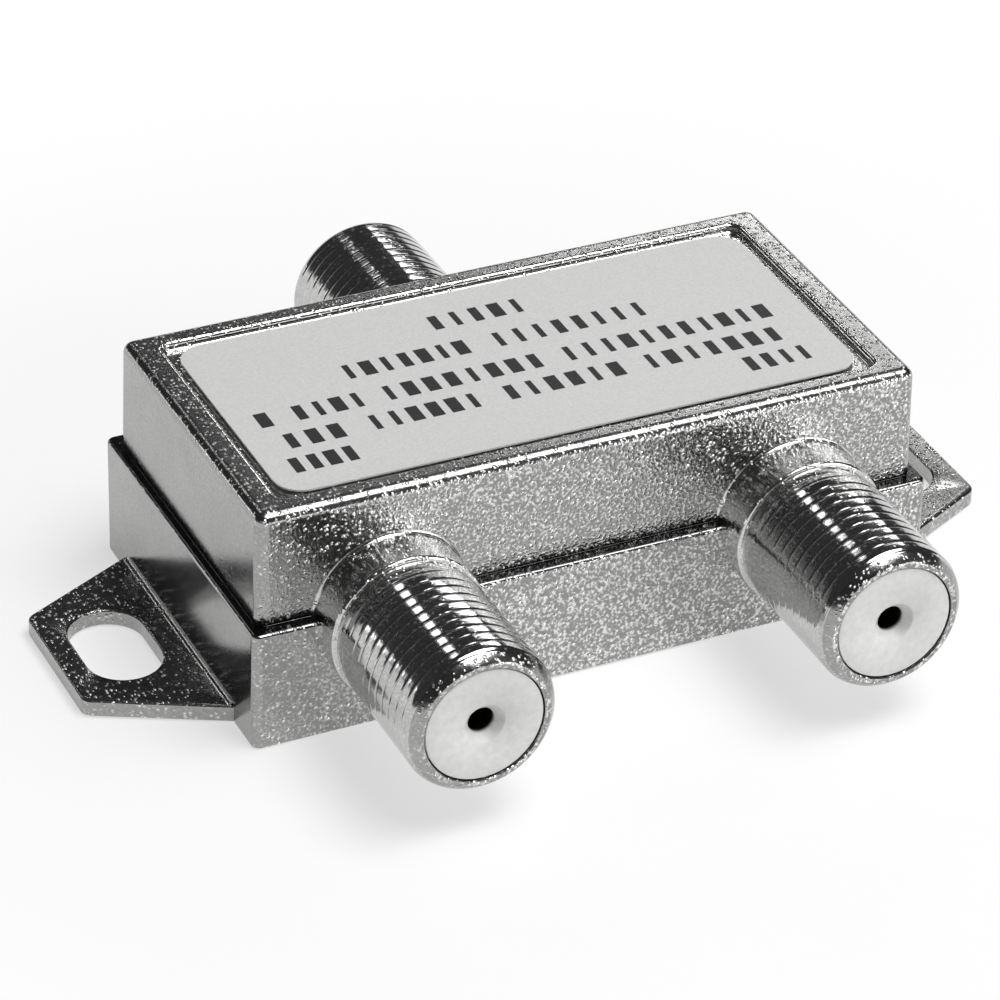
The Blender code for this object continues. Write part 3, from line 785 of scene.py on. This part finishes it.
def nickel(name, colour, rough, specks, grain, fine, top_rough=None):
    """Plated casting: a smooth skin with raised specks painted near white as glints, a finer grain
    on front and back whose lightest flecks are painted glints, and painted shade in the corner
    over the ledge.

    specks, grain and fine are the heights of its three bumps, in millimetres.
    """
    p = Paint(name, colour, rough, 1.0)
    facing = p.node("ShaderNodeTexCoord").outputs["Normal"]
    front = p.math("POWER", p.size_of(p.part_of(facing, "Y")), FRONT_POWER)
    along = p.part_of(p.coords, "X")
    front = p.times(front, p.scale_to(along, GRAIN_AT_END, 1.0, *(x * MM for x in GRAIN_END_X)))
    height = p.part_of(p.coords, "Z")
    depth = p.size_of(p.part_of(p.coords, "Y"))
    end = p.math("POWER", p.size_of(p.part_of(facing, "X")), 2.0)
    few = p.math("SUBTRACT", 1.0, p.times(end, FEWER_ON_ENDS))

    dome = None
    for scale, least in SPECKS:
        cells = p.cells(scale)
        chance = p.part_of(cells.outputs["Color"], "X")
        one = p.scale_to(cells.outputs["Distance"], 1.0, 0.0, *SPECK_EDGE, "SMOOTHSTEP")
        one = p.times(one, p.scale_to(chance, 0.0, 1.0, least, least + SPECK_CHANCE_SPAN))
        dome = one if dome is None else p.math("MAXIMUM", dome, one)
    dome = p.times(dome, few)

    fleck = p.noise(GRAIN_SCALE, 1.0)
    tint = p.math("ADD", p.times(p.noise(CLOUD_SCALE, 3.0, 0.6), CLOUD_SHARE),
                  p.times(p.noise(DUST_SCALE, 1.0), DUST_SHARE))
    skin = p.shades(tint, colour, SKIN_SHADES)
    if grain:
        # Grain in the colour of front and back faces, its lightest flecks painted glints
        skin = p.mixed(front, skin, p.shades(fleck, colour, GRAIN_AND_GLINT_SHADES))
        # Painted shade in the corner over the ledge, where the specks are left out
        from_shaded_corner = p.size_of(p.math("SUBTRACT", height, (LEDGE + CORNER_SHADE_HEIGHT) * MM))
        corner = p.times(
            p.scale_to(from_shaded_corner, CORNER_SHADE_SHARE, 0.0, *(z * MM for z in CORNER_SHADE_EDGE)),
            p.scale_to(depth, 1.0, 0.0, LOWER_Y * MM, (LOWER_Y + CORNER_SHADE_FADE) * MM))
        skin = p.mixed(corner, skin, CORNER_SHADE_COLOUR)
        dome = p.times(dome, p.math("SUBTRACT", 1.0, corner))
    # The specks are painted near white over the skin, as glints
    p.set("Base Color", p.mixed(dome, skin, SPECK_GLINT_COLOUR))

    uneven = p.scale_to(p.noise(UNEVEN_SCALE, 2.0, 0.6), rough * 0.88, rough * 1.15)
    if top_rough:
        raised = p.scale_to(height, 0.0, top_rough - rough,
                            *((HEIGHT - below) * MM for below in TOP_EDGE))
        uneven = p.math("ADD", uneven, raised)
    p.set("Roughness", p.math("ADD", uneven, p.times(dome, SPECK_ROUGHER)))

    under = p.bump(p.noise(FINE_SCALE, 1.0), fine)
    under = p.bump(p.times(fleck, front), grain, under)
    p.set("Normal", p.bump(dome, specks, under))
    return p.mat


# One plating as lit and shaded copies: the body painted darkest, the thread lighter, the boss and
# the recess walls lightest
shaded_cast_nickel = nickel("shaded_cast_nickel", (0.345, 0.345, 0.34), 0.18, 0.045, 0.06, 0.003, 0.24)
lit_boss_nickel = nickel("lit_boss_nickel", (0.60, 0.60, 0.59), 0.16, 0.05, 0.0, 0.003)
lit_thread_nickel = nickel("thread_nickel", (0.50, 0.50, 0.495), 0.11, 0.003, 0.0, 0.0008)

p = Paint("label_paper", (0.66, 0.66, 0.655), 0.5)
p.shader.inputs["Specular IOR Level"].default_value = 0.25
fibre = p.noise(5200.0, 2.0, 0.6)
p.set("Base Color", p.ramp(fibre, [(0.25, (0.60, 0.60, 0.595)), (0.75, (0.70, 0.70, 0.695))]))
p.set("Roughness", p.scale_to(p.noise(700.0), 0.44, 0.56))
p.set("Normal", p.bump(fibre, 0.004))
label_paper = p.mat

p = Paint("print_ink", (0.012, 0.012, 0.012), 0.45)
ink = p.noise(4200.0, 2.0, 0.6)
p.set("Base Color", p.ramp(ink, [(0.2, 0.008), (0.8, 0.028)]))
p.set("Roughness", p.scale_to(ink, 0.4, 0.6))
p.set("Normal", p.bump(ink, 0.004))
print_ink = p.mat

# Plastic of the plugs, with painted shade inside the dished entry
p = Paint("port_plastic", (0.68, 0.68, 0.67), 0.42)
mottle = p.noise(2400.0, 3.0, 0.6)
face_skin = p.ramp(mottle, [(0.25, (0.59, 0.59, 0.583)), (0.75, (0.70, 0.70, 0.69))])
painted_hole_shade = p.scale_to(p.size_of(p.part_of(p.coords, "Y")), 1.0, 0.0,
                    (PORT_TIP - DISH_SHADE_FULL) * MM, (PORT_TIP - DISH_SHADE_END) * MM)
# Painted shade: near black deep in the hole for the wire
p.set("Base Color", p.mixed(painted_hole_shade, face_skin, (0.01, 0.01, 0.01)))
p.set("Roughness", p.scale_to(p.noise(600.0), 0.36, 0.5))
p.set("Normal", p.bump(mottle, 0.006))
port_plastic = p.mat


def metal_skin(name, colour, rough, scale, height, stretch=None):
    p = Paint(name, colour, rough, 1.0)
    mark = p.noise(scale, 3.0, 0.6, stretch)
    p.set("Base Color", p.shades(mark, colour, [(0.3, 0.85), (0.7, 1.1)]))
    p.set("Roughness", p.scale_to(mark, rough * 0.8, rough * 1.3))
    p.set("Normal", p.bump(mark, height))
    return p.mat


def dull_skin(name, dark, light, rough, scale, height):
    p = Paint(name, light, rough)
    mark = p.noise(scale, 3.0, 0.6)
    p.set("Base Color", p.ramp(mark, [(0.3, dark), (0.7, light)]))
    p.set("Roughness", p.scale_to(mark, rough * 0.85, rough * 1.2))
    p.set("Normal", p.bump(mark, height))
    return p.mat


tin_plate = metal_skin("tin_plate", (0.62, 0.62, 0.61), 0.3, 900.0, 0.004, (0.06, 1.0, 1.0))
spring_bronze = metal_skin("spring_bronze", (0.30, 0.21, 0.11), 0.28, 2200.0, 0.003)
board_skin = dull_skin("board_skin", (0.30, 0.22, 0.09), (0.40, 0.31, 0.15),
                       0.5, 1400.0, 0.006)
ferrite_skin = dull_skin("ferrite_skin", (0.035, 0.032, 0.03), (0.07, 0.066, 0.06),
                         0.55, 2600.0, 0.012)
enamel_skin = metal_skin("enamel_skin", (0.60, 0.22, 0.09), 0.26, 1800.0, 0.002)
film_skin = dull_skin("film_skin", (0.02, 0.02, 0.02), (0.045, 0.045, 0.045),
                      0.4, 2600.0, 0.004)
ceramic_skin = dull_skin("ceramic_skin", (0.42, 0.27, 0.14), (0.54, 0.37, 0.21),
                         0.42, 2600.0, 0.004)
moulding_skin = dull_skin("moulding_skin", (0.025, 0.025, 0.028), (0.05, 0.05, 0.055),
                          0.48, 2600.0, 0.006)

NODE_SKINS = {
    "cover_plate": tin_plate,
    "label": label_paper,
    "contact_input": spring_bronze,
    "contact_output_left": spring_bronze,
    "contact_output_right": spring_bronze,
    "circuit_board": board_skin,
    "matching_core": ferrite_skin,
    "splitting_core": ferrite_skin,
    "matching_winding": enamel_skin,
    "splitting_winding": enamel_skin,
    "power_choke_left": enamel_skin,
    "power_choke_right": enamel_skin,
    "isolation_resistor": film_skin,
    "input_capacitor": ceramic_skin,
    "output_capacitor_left": ceramic_skin,
    "output_capacitor_right": ceramic_skin,
    "power_diode_left": moulding_skin,
    "power_diode_right": moulding_skin,
}
for name, skin in NODE_SKINS.items():
    for material_slot in nodes[name].material_slots:
        material_slot.material = skin

# ---------------------------------------------------------------- pieces

# Places of the casting's materials in its list, and the bounds of their faces
CAST, THREAD, BOSS = range(3)
THREAD_FOOT = WALL_Y + BOSS_LENGTH + COLLAR_LENGTH
THREAD_TIP = PORT_TIP - TIP_PROFILE[-1][0]
BOSS_FOOT = WALL_Y + 0.02
SKIN_INSIDE = BORE_RADIUS + 0.15
SKIN_OUTSIDE = BOSS_RADIUS + 0.27
RECESS_LOW = RECESS_FLOOR - 0.05
RECESS_HIGH = HEIGHT - 0.01


def casting_skin(x, y, z):
    """The material of a face of the casting, from its centre in millimetres."""
    axis_x = 0.0 if y > 0 else math.copysign(OUTPUT_X, x)
    from_axis = math.hypot(x - axis_x, z - PORT_HEIGHT)
    if THREAD_FOOT < abs(y) < THREAD_TIP:
        return THREAD if from_axis > SKIN_INSIDE else CAST
    if BOSS_FOOT < abs(y) <= THREAD_FOOT:
        return BOSS if SKIN_INSIDE < from_axis < SKIN_OUTSIDE else CAST
    over_recess = abs(x) < RECESS_X + RECESS_LIP and abs(y) < RECESS_Y + RECESS_LIP
    # The walls of the label's recess take the boss's lighter copy, as painted light
    return BOSS if over_recess and RECESS_LOW < z < RECESS_HIGH else CAST


casting = piece("housing_cast", casting_mesh, [shaded_cast_nickel, lit_thread_nickel, lit_boss_nickel],
                "nickel_plated_zinc", "housing")
for poly in casting_mesh.polygons:
    poly.material_index = casting_skin(*(c / MM for c in poly.center))
smooth(casting)

plug_rows = [(PLUG_RADIUS - PLUG_ROUND * low, PLUG_FACE - PLUG_ROUND * far)
             for far, low in quarter(EDGE_SECTIONS)]
plug_rows += [(PLUG_RADIUS, PLUG_BACK), (PLUG_TAIL_RADIUS, PLUG_BACK),
              (PLUG_TAIL_RADIUS, PLUG_TAIL), (WIRE_BORE_RADIUS, PLUG_TAIL),
              (WIRE_BORE_RADIUS, WIRE_HOLE_BACK)] + PLUG_ENTRY
for name in PORTS:
    mesh = turned("insulator", plug_rows, BORE_STEPS, closed=True)
    mesh.transform(port_matrix(name))
    plug = piece("plug_" + name, mesh, [port_plastic], "insulator_plastic", "insulator_" + name)
    smooth(plug, 50.0)

# Print on the label: rows of plain blocks, in place of words, each word (start, end, middle)
WORDS = [
    (-3.39, 3.02, 5.71),
    (-10.54, -2.28, 2.42), (-0.6, 9.8, 2.42),
    (-17.51, -16.49, -0.74), (-15.09, -10.54, -0.74), (-9.33, 1.25, -0.74), (2.65, 16.76, -0.74),
    (-16.86, -12.96, -3.48), (-11.38, -4.13, -3.48), (-2.55, 5.43, -3.48), (6.83, 16.11, -3.48),
    (-17.51, -13.33, -6.08), (12.4, 16.76, -6.08),
]
BLOCK_WIDTHS = (0.4, 0.6, 0.8)
BLOCK_HEIGHT = 1.6
BLOCK_PITCH = 1.3
BLOCK_GAP = 0.4
PRINT_SUNK = 0.01
PRINT_RAISED = 0.012
BLOCK_FACES = ((3, 2, 1, 0), (4, 5, 6, 7), (0, 1, 5, 4), (1, 2, 6, 5), (2, 3, 7, 6), (3, 0, 4, 7))
label_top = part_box("label")[1][2] / MM
draw = random.Random(7)
verts = []
faces = []
for x0, x1, y in WORDS:
    count = max(1, round((x1 - x0 + BLOCK_GAP) / BLOCK_PITCH))
    cell = (x1 - x0 + BLOCK_GAP) / count
    for i in range(count):
        wide = draw.choice(BLOCK_WIDTHS)
        middle = x0 + cell * (i + 0.5) - BLOCK_GAP / 2
        low = len(verts)
        for z in (label_top - PRINT_SUNK, label_top + PRINT_RAISED):
            for dx, dy in SQUARE:
                verts.append((middle + dx * wide / 2, y + dy * BLOCK_HEIGHT / 2, z))
        faces += [tuple(low + k for k in f) for f in BLOCK_FACES]
piece("label_print", mesh_from("label_print", verts, faces), [print_ink], "satin_label")

for obj in list(workshop.objects):
    bpy.data.objects.remove(obj, do_unlink=True)
bpy.data.collections.remove(workshop)

# ---------------------------------------------------------------- studio

FLOOR_HALF = 4
FLOOR_DROP = 0.0001
# Share of the floor's light that is white of its own, near the object and far from it,
# and the distances in metres between which the one turns to the other
WHITE_NEAR = 0.6
WHITE_FAR = 1.0
WHITE_EDGE = (0.03, 0.07)
# Grey of the surroundings by height, 0 at the horizon and 1 overhead
SKY_STOPS = [(0.0, 1.0), (0.05, 1.0), (0.1, 0.05), (1.0, 0.04)]
# The lamps look at this height, in metres
AIM_HEIGHT = 0.008

floor_mesh = bpy.data.meshes.new("floor")
floor_mesh.from_pydata([(x * FLOOR_HALF, y * FLOOR_HALF, 0) for x, y in SQUARE],
                       [], [(0, 1, 2, 3)])
floor = bpy.data.objects.new("floor", floor_mesh)
floor.location.z = -FLOOR_DROP
scene.collection.objects.link(floor)
p = Paint("floor_paper", (0.97, 0.97, 0.97), 0.9)
floor.data.materials.append(p.mat)
p.shader.inputs["Specular IOR Level"].default_value = 0.0
# White of its own far from the object; near it two fifths of the light come from the lamps,
# and bring the shadow
rays = p.node("ShaderNodeLightPath")
seen = p.math("MAXIMUM", rays.outputs["Is Camera Ray"], rays.outputs["Is Glossy Ray"])
seen = p.math("MAXIMUM", seen, rays.outputs["Is Transmission Ray"])
length = p.node("ShaderNodeVectorMath", operation="LENGTH")
p.link(p.coords, length.inputs[0])
white_share = p.scale_to(length.outputs["Value"], WHITE_NEAR, WHITE_FAR, *WHITE_EDGE, "SMOOTHSTEP")
glow = p.node("ShaderNodeEmission")
glow.inputs["Strength"].default_value = 1.0
sheet = p.node("ShaderNodeMixShader")
p.link(p.times(seen, white_share), sheet.inputs["Fac"])
p.link(p.shader.outputs["BSDF"], sheet.inputs[1])
p.link(glow.outputs["Emission"], sheet.inputs[2])
p.link(sheet.outputs["Shader"], p.tree.nodes["Material Output"].inputs["Surface"])

world = bpy.data.worlds.new("studio")
scene.world = world
world.use_nodes = True
world_tree = world.node_tree
place = world_tree.nodes.new("ShaderNodeTexCoord")
split = world_tree.nodes.new("ShaderNodeSeparateXYZ")
sky = world_tree.nodes.new("ShaderNodeValToRGB")
world_tree.links.new(place.outputs["Generated"], split.inputs["Vector"])
world_tree.links.new(split.outputs["Z"], sky.inputs["Fac"])
world_tree.links.new(sky.outputs["Color"], world_tree.nodes["Background"].inputs["Color"])
while len(sky.color_ramp.elements) < len(SKY_STOPS):
    sky.color_ramp.elements.new(0.5)
for element, (at, value) in zip(sky.color_ramp.elements, SKY_STOPS):
    element.position = at
    element.color = (value, value, value, 1.0)


def lamp(name, azimuth, elevation, distance, width, height, radiance, roll=0.0):
    """Soft box seen from the object at azimuth (0 behind it, 90 at its right) and elevation."""
    az = math.radians(azimuth)
    el = math.radians(elevation)
    towards = Vector((math.sin(az) * math.cos(el), math.cos(az) * math.cos(el), math.sin(el)))
    light = bpy.data.lights.new(name, "AREA")
    light.shape = "RECTANGLE"
    light.size = width
    light.size_y = height
    light.energy = radiance * math.pi * width * height
    obj = bpy.data.objects.new(name, light)
    obj.location = towards * distance + Vector((0, 0, AIM_HEIGHT))
    spin = Matrix.Rotation(math.radians(roll), 3, "Z").to_quaternion()
    obj.rotation_euler = (towards.to_track_quat("Z", "Y") @ spin).to_euler()
    obj.visible_camera = False
    scene.collection.objects.link(obj)


lamp("overhead_box", 135.0, 70.0, 0.7, 0.5, 0.36, 8.2)
lamp("back_right_box", 33.6, 24.7, 1.5, 0.085, 0.4, 10.0, -55.0)
lamp("back_box", -6.0, 41.4, 1.2, 0.09, 0.14, 5.5, 85.0)
lamp("back_left_strip", -40.5, 7.0, 0.6, 0.04, 0.05, 5.0)
lamp("front_right_box", 137.0, 14.0, 0.6, 0.25, 0.27, 5.9)
lamp("front_low_box", 158.0, 4.0, 0.6, 0.3, 0.07, 1.8)

# Camera, at the photograph's angle
camera_data = bpy.data.cameras.new("camera")
camera_data.sensor_width = 36.0
camera_data.lens = 175.78016
camera_data.shift_x = 0.000436
camera_data.shift_y = 0.023328
camera_data.clip_start = 0.01
camera_data.clip_end = 20.0
camera = bpy.data.objects.new("camera", camera_data)
right = Vector((0.90651407, -0.42147738, 0.02427029))
up = Vector((0.21039722, 0.5008678, 0.83956206))
back = -Vector((0.36601263, 0.75596843, -0.54272138))
spot = Vector((-0.11150902, -0.2284147, 0.16738579))
turn = Matrix((right, up, back)).transposed()
camera.matrix_world = Matrix.Translation(spot) @ turn.to_4x4()
scene.collection.objects.link(camera)
scene.camera = camera
